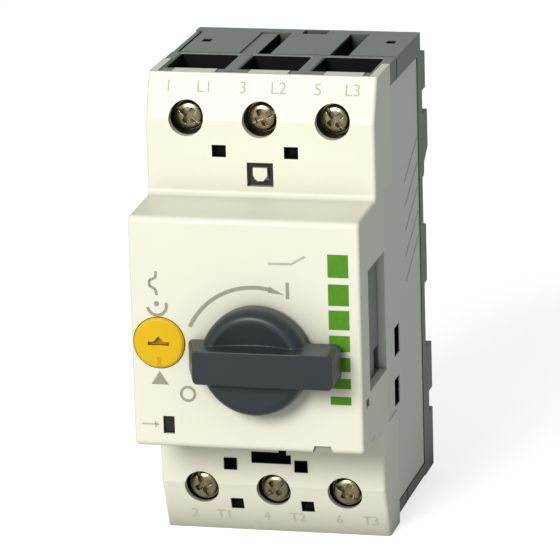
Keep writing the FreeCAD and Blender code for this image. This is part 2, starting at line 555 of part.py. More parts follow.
def make_mechanism():
    frame = new_body("mechanism_frame")
    pad(frame, "plate", "XZ", "-frame_front", "-frame_back", rect("-12", "18", "-19", "20.8"))
    pad(frame, "legs", "XZ", "-56.5", "-frame_front + 0.2",
        rect("-12", "-10.8", "8", "19"), rect("16.8", "18", "-8", "19"))
    for name, low, high in (("left_lug", "-2.6", "-1.6"), ("right_lug", "1.6", "2.6")):
        pad(frame, name, "YZ", low, high, rect("-frame_front + 0.2", "-toggle_y + 1.6", "18.6", "22"))
    pad(frame, "pivot", "YZ", "-2", "2", circle("-toggle_y", "toggle_z", "toggle_pin_r"))
    cut(frame, "shaft_hole", "XZ", "-frame_front - 1", "-frame_back + 1",
        circle("knob_x", "knob_z", "shaft_r + shaft_fit"))

    toggle = new_body("toggle_lever")
    pad(toggle, "arm", "YZ", "-1.3", "1.3", polygon(
        ("-toggle_y - 1", "toggle_z + 1.4"), ("-toggle_y - 1", "6"), ("-toggle_y + 1.2", "6"),
        ("-toggle_y + 1.2", "11.6"), ("-toggle_y + 2", "12.4"), ("-toggle_y + 2", "13.8"),
        ("-toggle_y + 1.2", "14.6"), ("-toggle_y + 1.2", "toggle_z - 1"), ("-toggle_y + 1.8", "toggle_z"),
        ("-toggle_y + 1.8", "toggle_z + 1.4")))
    cut(toggle, "pivot_hole", "YZ", "-2", "2", circle("-toggle_y", "toggle_z", "toggle_pin_r + shaft_fit"))

    reset = coil("reset_spring", "4.4", "0.4", "9.6", "1.6", at("knob_x", "-43.2", "knob_z", TO_FRONT))
    parts.append(reset)

    carrier = new_body("contact_carrier")
    pad(carrier, "crossbar", "XZ", "-carrier_front", "-carrier_front + 1.2",
        rect("-18.9", "18.7", "carrier_low", "carrier_high"))
    for number, pole in POLES.items():
        for side, low, high in (("left", "-3.9", "-3"), ("right", "3", "3.9")):
            pad(carrier, f"arm_{number}_{side}", "YZ", f"{pole} + {low}", f"{pole} + {high}",
                rect("-carrier_front + 1", "-bridge_back + 0.95", "carrier_low", "carrier_high"))
        pad(carrier, f"lip_{number}", "XZ", "-bridge_back + 0.05", "-bridge_back + 0.95",
            rect(f"{pole} - 3.5", f"{pole} + 3.5", "carrier_low + 1.5", "carrier_high - 1.5"))
    springs = []
    for number, pole in POLES.items():
        bridge = new_body(f"contact_bridge_{number}")
        pad(bridge, "strip", "XZ", "-bridge_back - 0.95", "-bridge_back",
            rect(f"{pole} - 2.6", f"{pole} + 2.6", "contact_low - 2.4", "contact_high + 2.4"))
        pad(bridge, "tips", "XZ", "-bridge_back - 0.2", "-bridge_back + 1",
            circle(pole, "contact_high", "contact_r"), circle(pole, "contact_low", "contact_r"))
        springs.append(coil(f"contact_spring_{number}", "2.2", "0.3", "3.6", "1.2",
                            at(pole, "-bridge_back - 1.35", "carrier_low/2 + carrier_high/2", TO_FRONT)))
    group("contact_springs", springs)


def make_releases():
    """Magnetic and thermal releases of the three poles, and the slide that both of them trip."""
    bobbins = []
    yokes = []
    bimetals = []
    heaters = []
    for number, pole in POLES.items():
        winding = coil(f"magnet_coil_{number}", "coil_r", "coil_wire_r", "coil_pitch * coil_turns",
                       "coil_pitch", at(pole, "-coil_y", "coil_start"))
        parts.append(winding)
        bobbin = doc.addObject("PartDesign::Body", f"bobbin_{number}")
        pad(bobbin, "tube", "XY", "4.3", "19.9", circle(pole, "-coil_y", "coil_r - coil_wire_r - 0.1"),
            circle(pole, "-coil_y", "plunger_r + shaft_fit"))
        bobbins.append(bobbin)
        yoke = doc.addObject("PartDesign::Body", f"yoke_{number}")
        pad(yoke, "bracket", "YZ", f"{pole} - 4.5", f"{pole} + 4.5", polygon(
            ("-15.2", "3"), ("-15.2", "4.2"), ("-4.9", "4.2"), ("-4.9", "20"), ("-15.2", "20"),
            ("-15.2", "21.2"), ("-base_wall - 0.1", "21.2"), ("-base_wall - 0.1", "3")))
        pad(yoke, "core", "XY", "plunger_top + 3", "20.5", circle(pole, "-coil_y", "plunger_r"))
        cut(yoke, "plunger_hole", "XY", "2", "5", circle(pole, "-coil_y", "plunger_r + 0.3"))
        yokes.append(yoke)

        plunger = new_body(f"plunger_{number}")
        pad(plunger, "core", "XY", "-1", "plunger_top", circle(pole, "-coil_y", "plunger_r"))
        pad(plunger, "neck", "XY", "collar_top - 3", "-0.8", circle(pole, "-coil_y", "0.9"))
        pad(plunger, "collar", "XY", "collar_top - 1", "collar_top", circle(pole, "-coil_y", "2.9"))
        spring = coil(f"plunger_spring_{number}", "2.5", "0.22", "spring_seat - collar_top - 0.54", "1.4",
                      at(pole, "-coil_y", "collar_top + 0.27"))
        parts.append(spring)

        bimetal = doc.addObject("PartDesign::Body", f"bimetal_{number}")
        pad(bimetal, "strip", "XZ", "-bimetal_y - 0.5", "-bimetal_y + 0.5",
            rect(f"{pole} - 2.4", f"{pole} + 2.4", "-bimetal_foot + 0.02", "-bimetal_tip"))
        bimetals.append(bimetal)
        heaters.append(coil(f"heater_{number}", "3.4", "0.42", "12.6", "1.8", at(pole, "-bimetal_y", "-27")))
    group("coil_bobbins", bobbins)
    group("magnet_yokes", yokes)
    group("bimetal_strips", bimetals)
    group("heater_windings", heaters)

    slide = new_body("trip_slide")
    pad(slide, "bar", "YZ", "-19.4", "18.8", rect("-trip_front", "-trip_back", "-trip_low", "-trip_high"))
    for number, pole in POLES.items():
        pad(slide, f"finger_{number}", "YZ", f"{pole} + 2.9", f"{pole} + 3.8",
            rect("-trip_back - 0.5", "-bimetal_y + 1", "-trip_low", "-trip_high - 0.6"))
    pad(slide, "test_tab", "YZ", "test_right + 0.3", "test_right + 1.3",
        rect("-trip_front - 2.6", "-trip_front + 0.5", "-19.5", "-trip_high"))


def add_splitter_plates(chute, pole):
    """Seven plates, one above another, each with a V-shaped mouth towards the contact."""
    plate = polygon((f"{pole} - 5.2", "-6.4"), (f"{pole} + 5.2", "-6.4"), (f"{pole} + 5.2", "-21"),
                    (f"{pole} + 2.2", "-21"), (f"{pole}", "-14"), (f"{pole} - 2.2", "-21"),
                    (f"{pole} - 5.2", "-21"))
    for index in range(7):
        bottom = 24 + 2 * index
        pad(chute, f"plate_{index}", "XY", f"{bottom}", f"{bottom} + 0.8", plate)


def make_arc_chutes():
    """Splitter plates behind each line contact, held between two fibre cheeks."""
    for number, pole in POLES.items():
        chute = new_body(f"arc_chute_{number}")
        for side, low, high in (("left", "-5.6", "-4.8"), ("right", "4.8", "5.6")):
            pad(chute, f"cheek_{side}", "YZ", f"{pole} + {low}", f"{pole} + {high}",
                rect("-21.8", "-6", "23", "38"))
            if side == "left":
                add_splitter_plates(chute, pole)


# ---------------------------------------------------------------- rail foot

def make_din_foot():
    """The sprung foot that holds the lower edge of the rail, with a slot to pull it down by."""
    foot = new_body("din_foot")
    pad(foot, "plate", "XZ", "-channel_floor + 0.3", "1", rect("-foot_half", "foot_half", "-42", "-19"))
    pad(foot, "hook", "YZ", "-foot_half", "foot_half", polygon(
        ("-channel_floor + 0.3", "-28"), ("-channel_floor + 0.3", "-hook_start"),
        ("lip_start", "-hook_start"), ("lip_start", "-lip_tip"), ("lip_end - 0.6", "-lip_tip"),
        ("lip_end", "-lip_tip - 0.6"), ("lip_end", "-hook_start - 0.4"),
        ("hook_depth - 0.3", "-21.6"), ("hook_depth - 0.3", "-28")))
    cut(foot, "spring_window", "XZ", "-channel_floor", "1.5", rect("-2.6", "2.6", "-38.2", "-28.5"))
    cut(foot, "driver_slot", "XZ", "-channel_floor", "1.5", rect("-3", "3", "-41", "-39.6"))
    spring = coil("foot_spring", "1.1", "0.22", "7.0", "1.75", at("0", "-0.4", "-35.75"))
    parts.append(spring)


make_rear_base()
make_mid_housing()
make_front_hood()
make_terminal_deck("line_terminal_deck", 1, "0", "-shoulder_edge + 1.9")
make_terminal_deck("load_terminal_deck", -1, "load_setback", "-chin_edge + 1.8")
make_port_panels()
for terminal_end in ("line", "load"):
    for pole_number, pole_alias in POLES.items():
        make_terminal(terminal_end, pole_number, pole_alias)
make_bars()
make_knob()
make_dial()
make_test_lever()
make_mechanism()
make_releases()
make_arc_chutes()
make_din_foot()
doc.recompute()

# ---------------------------------------------------------------- check and write

for item in doc.Objects:
    if "Invalid" in item.State or "Error" in item.State:
        raise RuntimeError(f"{item.Label}: {item.State}")
for item in parts:
    if item.Shape.isNull() or not item.Shape.isValid():
        raise RuntimeError(f"{item.Label} has no valid shape")
    expected = len(item.Links) if hasattr(item, "Links") else 1
    if len(item.Shape.Solids) != expected:
        raise RuntimeError(f"{item.Label} has {len(item.Shape.Solids)} solids, not {expected}")

os.makedirs("parts", exist_ok=True)
for item in parts:
    item.Shape.exportStep(f"parts/{item.Label}.step")
print(f"{len(parts)} sub-parts written")
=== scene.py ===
import json
import math
import bmesh
import bpy
from mathutils import Matrix, Vector


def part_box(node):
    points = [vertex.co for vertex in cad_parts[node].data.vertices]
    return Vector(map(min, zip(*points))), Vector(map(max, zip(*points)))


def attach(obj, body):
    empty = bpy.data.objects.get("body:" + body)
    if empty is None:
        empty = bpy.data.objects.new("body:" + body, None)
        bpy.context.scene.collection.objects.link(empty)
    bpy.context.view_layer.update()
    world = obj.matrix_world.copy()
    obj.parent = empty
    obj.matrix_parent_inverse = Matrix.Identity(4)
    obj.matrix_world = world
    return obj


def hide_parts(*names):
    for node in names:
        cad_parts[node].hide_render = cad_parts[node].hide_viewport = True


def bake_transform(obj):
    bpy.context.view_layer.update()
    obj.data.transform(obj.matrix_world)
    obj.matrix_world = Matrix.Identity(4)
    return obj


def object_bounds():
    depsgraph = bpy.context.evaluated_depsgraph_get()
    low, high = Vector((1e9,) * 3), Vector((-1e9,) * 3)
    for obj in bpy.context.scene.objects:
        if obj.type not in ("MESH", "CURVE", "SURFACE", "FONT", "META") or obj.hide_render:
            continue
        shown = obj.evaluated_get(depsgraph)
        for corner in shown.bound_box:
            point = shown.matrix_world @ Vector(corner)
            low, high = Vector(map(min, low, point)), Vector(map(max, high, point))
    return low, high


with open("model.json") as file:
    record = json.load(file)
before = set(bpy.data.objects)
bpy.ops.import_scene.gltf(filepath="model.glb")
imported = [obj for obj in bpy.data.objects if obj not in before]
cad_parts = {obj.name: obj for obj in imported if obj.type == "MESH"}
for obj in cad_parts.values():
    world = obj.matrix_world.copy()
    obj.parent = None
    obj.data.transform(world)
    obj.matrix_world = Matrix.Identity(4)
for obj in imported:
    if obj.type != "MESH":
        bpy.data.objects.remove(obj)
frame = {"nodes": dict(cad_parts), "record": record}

# The looks of a three-pole motor protection breaker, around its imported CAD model.
# X points right, Y backwards and Z up. The rail plane is at Y = 0, and the front faces lie at negative Y.
# Lengths are in metres. Where millimetres read better, they are multiplied by MM.
MM = 0.001
cad_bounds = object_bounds()

# ------------------------------------------------------------------ places taken from the frame

HOOD_LOW = Vector(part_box("front_hood")[0])
FACE_Y = HOOD_LOW.y
FLOOR_Z = min(corner[2] for corner in cad_bounds)
POLES = (1, 2, 3)


def joint(name):
    return next(item for item in frame["record"]["behaviour"]["joints"] if item["name"] == name)


KNOB_AXIS = Vector(joint("knob_turn")["pos_m"])
DIAL_AXIS = Vector(joint("dial_turn")["pos_m"])


# ------------------------------------------------------------------ material tools

# how fine the noise patterns are, in cells a metre
FLOW_SCALE = 45
CLOUD_SCALE = 260
RUB_SCALE = 420
COVER_SCALE = 1500
DRAWN_SCALE = 1800
SPECK_SCALE = 2600
INK_GRAIN_SCALE = 4500
GRAIN_SCALE = 5200
# the tones of marks and of painted shade, as a share of the colour they lie on
SPECK_TONE = 0.72
RUBBED_TONE = 1.35
# dust mixed with painted shade in gaps, painted shade in holes, tarnish mixed with painted shade in metal
# gaps
DUST_AND_SHADE_TONE = 0.3
HOLE_SHADE_TONE = 0.02
DRAWN_TONE = 0.6
TARNISH_AND_SHADE_TONE = 0.12
THIN_INK_TONE = 1.3
# how far in from an edge the rubbing reaches
WORN_RADIUS = 0.35 * MM


def new_material(name):
    material = bpy.data.materials.new(name)
    material.use_nodes = True
    nodes = material.node_tree.nodes
    shader = nodes["Principled BSDF"]
    return material, nodes, material.node_tree.links, shader


def noise(nodes, links, place, scale, detail, stretch=(1, 1, 1)):
    mapping = nodes.new("ShaderNodeMapping")
    mapping.inputs["Scale"].default_value = stretch
    links.new(place, mapping.inputs["Vector"])
    texture = nodes.new("ShaderNodeTexNoise")
    texture.inputs["Scale"].default_value = scale
    texture.inputs["Detail"].default_value = detail
    links.new(mapping.outputs["Vector"], texture.inputs["Vector"])
    return texture.outputs["Fac"]


def ramp(nodes, links, value, given, wanted):
    """Maps a value from the given range onto the wanted range and holds it at both ends."""
    node = nodes.new("ShaderNodeMapRange")
    for socket, limit in zip(("From Min", "From Max", "To Min", "To Max"), (*given, *wanted)):
        node.inputs[socket].default_value = limit
    links.new(value, node.inputs["Value"])
    return node.outputs["Result"]


def mix_colour(nodes, links, factor, first, second):
    """Mixes two colours by a socket's value. Each colour is a socket or red, green and blue."""
    node = nodes.new("ShaderNodeMix")
    node.data_type = "RGBA"
    links.new(factor, node.inputs[0])
    for socket, colour in ((node.inputs[6], first), (node.inputs[7], second)):
        if hasattr(colour, "links"):
            links.new(colour, socket)
        else:
            socket.default_value = (*colour, 1.0)
    return node.outputs[2]


def add_bump(nodes, links, shader, height, strength, distance, under=None):
    node = nodes.new("ShaderNodeBump")
    node.inputs["Strength"].default_value = strength
    node.inputs["Distance"].default_value = distance
    links.new(height, node.inputs["Height"])
    if under is not None:
        links.new(under, node.inputs["Normal"])
    links.new(node.outputs["Normal"], shader.inputs["Normal"])
    return node.outputs["Normal"]


def worn_edges(nodes, links):
    """1 on a sharp outer or inner edge and 0 on a flat face."""
    bevel = nodes.new("ShaderNodeBevel")
    bevel.samples = 4
    bevel.inputs["Radius"].default_value = WORN_RADIUS
    geometry = nodes.new("ShaderNodeNewGeometry")
    dot = nodes.new("ShaderNodeVectorMath")
    dot.operation = "DOT_PRODUCT"
    links.new(bevel.outputs["Normal"], dot.inputs[0])
    links.new(geometry.outputs["Normal"], dot.inputs[1])
    return ramp(nodes, links, dot.outputs["Value"], (1.0, 0.85), (0, 1))


def openness(nodes, distance):
    """1 in the open, about a half in a corner and towards 0 deep in a gap."""
    node = nodes.new("ShaderNodeAmbientOcclusion")
    node.samples = 6
    node.inputs["Distance"].default_value = distance
    return node.outputs["AO"]


def scaled(colour, factor):
    return tuple(min(1.0, channel * factor) for channel in colour)


def moulded_plastic(name, colour, roughness=0.45, grain=0.35, mottle=0.05, wear=0.25, dirt_and_shade=0.35,
                    worn=None, specular=0.4, gap=3.0 * MM, hole_shade=0.96, shade=0.5):
    """Injection-moulded plastic: fine spark-eroded grain, slight flow marks, rubbed edges, gaps with dust
    and painted shade.

    'mottle' is the strength of flow marks and specks, and 'wear' that of rubbed edges, coloured 'worn'.
    Gaps narrower than 'gap' take dust and painted shade, by the share named for dirt and shade. Below the
    openness 'shade' they take more painted shade, going near black, up to the share named for holes.
    """
    material, nodes, links, shader = new_material(name)
    place = nodes.new("ShaderNodeTexCoord").outputs["Object"]
    flow = noise(nodes, links, place, FLOW_SCALE, detail=4, stretch=(1, 1, 0.35))
    base = mix_colour(nodes, links, flow, scaled(colour, 1 - mottle), scaled(colour, 1 + mottle))
    speck = noise(nodes, links, place, SPECK_SCALE, detail=2)
    specks = ramp(nodes, links, speck, (0.35, 0.7), (0, mottle * 1.2))
    base = mix_colour(nodes, links, specks, base, scaled(colour, SPECK_TONE))
    patches = ramp(nodes, links, noise(nodes, links, place, RUB_SCALE, detail=5), (0.42, 0.62), (0, 1))
    rub = nodes.new("ShaderNodeMath")
    rub.operation = "MULTIPLY"
    links.new(worn_edges(nodes, links), rub.inputs[0])
    links.new(patches, rub.inputs[1])
    rubbed = ramp(nodes, links, rub.outputs[0], (0, 1), (0, wear))
    base = mix_colour(nodes, links, rubbed, base, worn or scaled(colour, RUBBED_TONE))
    # ambient occlusion paints shade into gaps, mixed with dust; deep in holes the painted shade goes near
    # black
    open_air = openness(nodes, gap)
    dust_and_shade = ramp(nodes, links, open_air, (0.42, 0.9), (dirt_and_shade, 0))
    base = mix_colour(nodes, links, dust_and_shade, base, scaled(colour, DUST_AND_SHADE_TONE))
    # painted shade: deep in gaps and holes the colour goes near black
    painted_hole_shade = ramp(nodes, links, open_air, (0.1, shade), (hole_shade, 0))
    base = mix_colour(nodes, links, painted_hole_shade, base, scaled(colour, HOLE_SHADE_TONE))
    links.new(base, shader.inputs["Base Color"])
    rough = ramp(nodes, links, flow, (0.25, 0.75), (roughness - 0.05, roughness + 0.07))
    links.new(rough, shader.inputs["Roughness"])
    shader.inputs["Specular IOR Level"].default_value = specular
    under = add_bump(nodes, links, shader, flow, 0.12, 0.08 * MM)
    fine = noise(nodes, links, place, GRAIN_SCALE, detail=3)
    add_bump(nodes, links, shader, fine, grain, 0.02 * MM, under)
    return material


def metal(name, colour, second, roughness=0.3, brushed=(1, 1, 1), tarnish_and_shade=0.5, gap=0.8 * MM):
    """Bare or plated metal: two tones in soft clouds, drawing or rolling marks, gaps darkened by tarnish and
    painted shade.
    """
    material, nodes, links, shader = new_material(name)
    place = nodes.new("ShaderNodeTexCoord").outputs["Object"]
    cloud = noise(nodes, links, place, CLOUD_SCALE, detail=5)
    base = mix_colour(nodes, links, ramp(nodes, links, cloud, (0.35, 0.65), (0, 1)), colour, second)
    lines = noise(nodes, links, place, DRAWN_SCALE, detail=3, stretch=brushed)
    drawn = ramp(nodes, links, lines, (0.3, 0.75), (0, 0.3))
    base = mix_colour(nodes, links, drawn, base, scaled(colour, DRAWN_TONE))
    # tarnish and painted shade in gaps, from ambient occlusion
    tarnished_and_shaded = ramp(nodes, links, openness(nodes, gap), (0.15, 0.85), (tarnish_and_shade, 0))
    base = mix_colour(nodes, links, tarnished_and_shaded, base, scaled(second, TARNISH_AND_SHADE_TONE))
    links.new(base, shader.inputs["Base Color"])
    shader.inputs["Metallic"].default_value = 1.0
    rough = ramp(nodes, links, lines, (0.25, 0.75), (roughness - 0.08, roughness + 0.14))
    links.new(rough, shader.inputs["Roughness"])
    add_bump(nodes, links, shader, lines, 0.25, 0.01 * MM)
    return material


def print_ink(name, colour):
    """Pad-printed ink: slightly uneven cover over the grain below."""
    material, nodes, links, shader = new_material(name)
    place = nodes.new("ShaderNodeTexCoord").outputs["Object"]
    cover = noise(nodes, links, place, COVER_SCALE, detail=4)
    thin = ramp(nodes, links, cover, (0.3, 0.75), (0, 0.5))
    base = mix_colour(nodes, links, thin, colour, scaled(colour, THIN_INK_TONE))
    links.new(base, shader.inputs["Base Color"])
    links.new(ramp(nodes, links, cover, (0.3, 0.7), (0.44, 0.58)), shader.inputs["Roughness"])
    shader.inputs["Specular IOR Level"].default_value = 0.2
    add_bump(nodes, links, shader, noise(nodes, links, place, INK_GRAIN_SCALE, detail=2), 0.2, 0.01 * MM)
    return material


# ------------------------------------------------------------------ materials of the record's slots

# each plastic paints shade into its gaps: the cream's reaches 9 mm and paints shade on the chin under the
# raised centre, and the dark plastic's paints its grooves and entries near black
MATERIALS = {
    "cream_plastic": moulded_plastic(
        "cream_plastic_moulded", (0.86, 0.84, 0.69), roughness=0.42, mottle=0.02, wear=0.1, dirt_and_shade=0.4,
        worn=(0.93, 0.92, 0.84), gap=9.0 * MM, shade=0.4),
    "grey_plastic": moulded_plastic(
        "grey_plastic_moulded", (0.80, 0.80, 0.71), roughness=0.5, wear=0.15, dirt_and_shade=0.15),
    "dark_plastic": moulded_plastic(
        "dark_plastic_moulded", (0.27, 0.285, 0.255), roughness=0.5, mottle=0.08, worn=(0.5, 0.52, 0.5),
        dirt_and_shade=0.8, gap=9.0 * MM, shade=0.72),
    "black_plastic": moulded_plastic(
        "black_plastic_moulded", (0.012, 0.013, 0.013), roughness=0.5, mottle=0.1, worn=(0.1, 0.1, 0.1)),
    "knob_plastic": moulded_plastic(
        "knob_plastic_moulded", (0.029, 0.037, 0.042), roughness=0.38, mottle=0.07, grain=0.25, wear=0.3,
        dirt_and_shade=0.15, worn=(0.11, 0.125, 0.14), hole_shade=0.2),
    "dial_plastic": moulded_plastic(
        "dial_plastic_moulded", (0.80, 0.50, 0.003), roughness=0.38, grain=0.15, wear=0.15,
        worn=(0.95, 0.72, 0.1), dirt_and_shade=0.2, specular=0.3),
    "carrier_plastic": moulded_plastic("carrier_plastic_moulded", (0.16, 0.035, 0.02), roughness=0.5),
    "bobbin_plastic": moulded_plastic("bobbin_plastic_moulded", (0.62, 0.58, 0.46)),
    "fibre": moulded_plastic("vulcan_fibre", (0.33, 0.22, 0.11), roughness=0.7, mottle=0.14, grain=0.8),
    "zinc_steel": metal(
        "yellow_zinc_steel", (0.46, 0.38, 0.22), (0.30, 0.27, 0.18), roughness=0.28, tarnish_and_shade=0.95),
    "plain_steel": metal(
        "rolled_steel", (0.50, 0.50, 0.49), (0.38, 0.38, 0.37), roughness=0.34, brushed=(1, 6, 1)),
    "spring_steel": metal("drawn_spring_wire", (0.42, 0.42, 0.43), (0.30, 0.30, 0.31), roughness=0.26),
    "copper": metal("drawn_copper", (0.80, 0.38, 0.22), (0.62, 0.27, 0.14), roughness=0.24),
    "tinned_copper": metal(
        "tinned_copper_bar", (0.66, 0.60, 0.52), (0.55, 0.47, 0.38), roughness=0.32, brushed=(1, 1, 8)),
    "bimetal": metal(
        "rolled_bimetal", (0.55, 0.50, 0.42), (0.42, 0.37, 0.30), roughness=0.36, brushed=(8, 1, 1)),
}
# the cages' tarnish reaches 6 mm into gaps: painted shade, which keeps them dark inside the entries
CAGE_METAL = metal("cage_zinc_steel", (0.50, 0.46, 0.36), (0.38, 0.36, 0.30), roughness=0.34,
                   tarnish_and_shade=0.99, gap=6.0 * MM)
INK_GREY = print_ink("printed_grey_ink", (0.33, 0.32, 0.25))
INK_PALE = print_ink("printed_pale_ink", (0.50, 0.48, 0.38))
INK_GREEN = print_ink("printed_green_ink", (0.085, 0.27, 0.014))
INK_ORANGE = print_ink("printed_orange_ink", (0.42, 0.17, 0.003))
INK_AMBER = print_ink("printed_amber_ink", (0.66, 0.34, 0.003))
# near-black films and linings that paint the shade on recess floors and inside deep openings
RECESS_SHADE = moulded_plastic("painted_recess_shade", (0.03, 0.032, 0.028), roughness=0.6, mottle=0.1)
LINING_SHADE = moulded_plastic("painted_opening_shade", (0.006, 0.0065, 0.006), roughness=0.65,
                               mottle=0.1, worn=(0.02, 0.021, 0.02), specular=0.1)

for entry in frame["record"]["subparts"]:
    node = frame["nodes"][entry["node"]]
    node.data.materials.clear()
    node.data.materials.append(MATERIALS[entry["material_slot"]])
for end in ("line", "load"):
    for pole in POLES:
        frame["nodes"][f"{end}_cage_{pole}"].data.materials[0] = CAGE_METAL


# ------------------------------------------------------------------ mesh tools

def object_from_bmesh(name, shape, material, smooth=True):
    mesh = bpy.data.meshes.new(name)
    bmesh.ops.recalc_face_normals(shape, faces=shape.faces)
    shape.to_mesh(mesh)
    shape.free()
    piece = bpy.data.objects.new(name, mesh)
    bpy.context.scene.collection.objects.link(piece)
    mesh.materials.append(material)
    for face in mesh.polygons:
        face.use_smooth = smooth
    return piece


def apply_modifiers(piece):
    """Leaves the piece with the mesh that its modifiers make."""
    graph = bpy.context.evaluated_depsgraph_get()
    made = bpy.data.meshes.new_from_object(piece.evaluated_get(graph))
    piece.modifiers.clear()
    old = piece.data
    piece.data = made
    bpy.data.meshes.remove(old)
    for face in made.polygons:
        face.use_smooth = True


def soften(piece, voxel, rounds, keep=1.0):
    """Joins overlapping solids into one closed skin, with every edge rounded by about the voxel size.

    'keep' is the share of its triangles that the skin keeps.
    """
    remesh = piece.modifiers.new("join", "REMESH")
    remesh.mode = "VOXEL"
    remesh.voxel_size = voxel
    remesh.adaptivity = 0.0
    relax = piece.modifiers.new("relax", "SMOOTH")
    relax.factor = 0.5
    relax.iterations = rounds
    if keep < 1.0:
        thin = piece.modifiers.new("thin", "DECIMATE")
        thin.ratio = keep
    apply_modifiers(piece)


def add_lathed(shape, profile):
    """A profile of (radius, place along the axis), from axis to axis, turned round the Y axis."""
    around = 96
    rings = []
    for radius, along in profile:
        if radius == 0:
            rings.append([shape.verts.new((0, along, 0))])
            continue
        ring = []
        for step in range(around):
            angle = 2 * math.pi * step / around
            ring.append(shape.verts.new((radius * math.cos(angle), along, radius * math.sin(angle))))
        rings.append(ring)
    for first, second in zip(rings, rings[1:]):
        for step in range(around):
            following = (step + 1) % around
            corners = [first[step % len(first)], first[following % len(first)],
                       second[following % len(second)], second[step % len(second)]]
            shape.faces.new(list(dict.fromkeys(corners)))


def join_rings(shape, first, second):
    """Faces between two rings with the same number of vertices."""
    count = len(first)
    for step in range(count):
        following = (step + 1) % count
        shape.faces.new([first[step], first[following], second[following], second[step]])


def add_skin(shape, rings):
    """A closed skin over rings of vertices, with a cap on the first and on the last one."""
    for first, second in zip(rings, rings[1:]):
        join_rings(shape, first, second)
    shape.faces.new(rings[0])
    shape.faces.new(list(reversed(rings[-1])))


def add_prism(shape, outline, start, end):
    """An outline of (x, z) places in millimetres, between two levels along Y in metres."""
    add_skin(shape, [[shape.verts.new((x * MM, level, z * MM)) for x, z in outline]
                     for level in (start, end)])


def bar(x_low, x_high, y_low, y_high):
    """The outline of a rectangle."""
    return [(x_low, y_low), (x_high, y_low), (x_high, y_high), (x_low, y_high)]


def cut_with(piece, cutter):
    """Takes the cutter's solid out of the piece."""
    tool = piece.modifiers.new("cut", "BOOLEAN")
    tool.operation = "DIFFERENCE"
    tool.solver = "EXACT"
    tool.object = cutter
    apply_modifiers(piece)
    bpy.data.objects.remove(cutter)


# ------------------------------------------------------------------ rotary handle

# the disc and the grip: levels along Y in the frame, and sizes
DISC_RADIUS = 10.5 * MM
DISC_FRONT = -66.0 * MM
GRIP_BACK = -61.3 * MM
DISH_RADIUS = 8.3 * MM
DISH_DEPTH = 1.5 * MM


def make_knob():
    """Rounded disc with a half-moon dish above and a long grip across it, softly rounded as moulded."""
    low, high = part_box("rotary_knob")
    back = high.y - KNOB_AXIS.y
    disc_front = DISC_FRONT - KNOB_AXIS.y
    round_depth = 2.6 * MM
    round_width = 1.9 * MM
    # out along the back, round its edge and then round the larger edge at the front
    profile = [(0, back), (DISC_RADIUS - 0.7 * MM, back), (DISC_RADIUS - 0.1 * MM, back - 0.5 * MM),
               (DISC_RADIUS, back - 1.2 * MM)]
    steps = 10
    for step in range(steps + 1):
        angle = math.pi / 2 * step / steps
        profile.append((DISC_RADIUS - round_width * (1 - math.cos(angle)),
                        disc_front + round_depth * (1 - math.sin(angle))))
    # the front is slightly domed: radius and height in millimetres
    profile += [(radius * MM, disc_front - dome * MM) for radius, dome in ((6, 0.12), (3, 0.2), (0, 0.22))]
    shape = bmesh.new()
    add_lathed(shape, profile)
    disc = object_from_bmesh("disc_form", shape, MATERIALS["knob_plastic"])
    cut_with(disc, dish_cutter(disc_front))

    shell = bmesh.new()
    shell.from_mesh(disc.data)
    bpy.data.objects.remove(disc)
    add_grip(shell, GRIP_BACK - KNOB_AXIS.y, low.y - KNOB_AXIS.y)
    bmesh.ops.translate(shell, verts=shell.verts, vec=KNOB_AXIS)
    knob = object_from_bmesh("handle_shell", shell, MATERIALS["knob_plastic"])
    soften(knob, voxel=0.15 * MM, rounds=4, keep=0.5)
    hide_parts("rotary_knob")
    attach(knob, "knob")


def dish_cutter(front):
    """The half-moon hollow above the grip: a shallow bowl, deepest where the grip cuts it off."""
    straight_edge = 1.5 * MM
    rows = 14
    around = 40
    smallest_reach = 0.04
    start = math.asin(straight_edge / DISH_RADIUS)
    shape = bmesh.new()
    rings = []
    for row in range(rows + 1):
        reach = 1 - row / rows
        bowl = DISH_DEPTH * (1 - reach ** 2.4)
        ring = []
        for step in range(around + 1):
            angle = start + (math.pi - 2 * start) * step / around
            across = DISH_RADIUS * math.cos(angle) * max(reach, smallest_reach)
            upward = (straight_edge
                      + (DISH_RADIUS * math.sin(angle) - straight_edge) * max(reach, smallest_reach))
            deeper_near_grip = 1.2 - 0.6 * upward / DISH_RADIUS
            ring.append(shape.verts.new((across, front + bowl * deeper_near_grip, upward)))
        rings.append(ring)
    lid = [shape.verts.new((vertex.co.x, front - 2 * MM, vertex.co.z)) for vertex in rings[0]]
    add_skin(shape, [lid] + rings)
    return object_from_bmesh("dish_cutter", shape, MATERIALS["knob_plastic"], smooth=False)


def add_grip(shape, back, front):
    """The long bar, nearly square at its right end and drawn in towards the front at its left end."""
    left = -13.4 * MM
    right = 16.4 * MM
    half_height = 3.5 * MM
    corner_radius = 1.0 * MM
    left_draw = 2.6 * MM
    right_flare = 0.1 * MM
    corner_steps = 6
    outline = []
    for x, z, start in ((right, half_height, 0), (left, half_height, 90),
                        (left, -half_height, 180), (right, -half_height, 270)):
        centre_x = x - math.copysign(corner_radius, x)
        centre_z = z - math.copysign(corner_radius, z)
        for step in range(corner_steps + 1):
            angle = math.radians(start + 90 * step / corner_steps)
            outline.append((centre_x + corner_radius * math.cos(angle),
                            centre_z + corner_radius * math.sin(angle)))

    def place(x, level, z):
        towards_front = (level - back) / (front - back)
        along = left_draw if x < 0 else -right_flare
        narrower = 1 - 0.04 * towards_front
        wider_to_the_right = 1 + 1.2 * x
        return (x + along * towards_front, level, z * narrower * wider_to_the_right)

    add_skin(shape, [[shape.verts.new(place(x, level, z)) for x, z in outline] for level in (back, front)])


# ------------------------------------------------------------------ setting dial

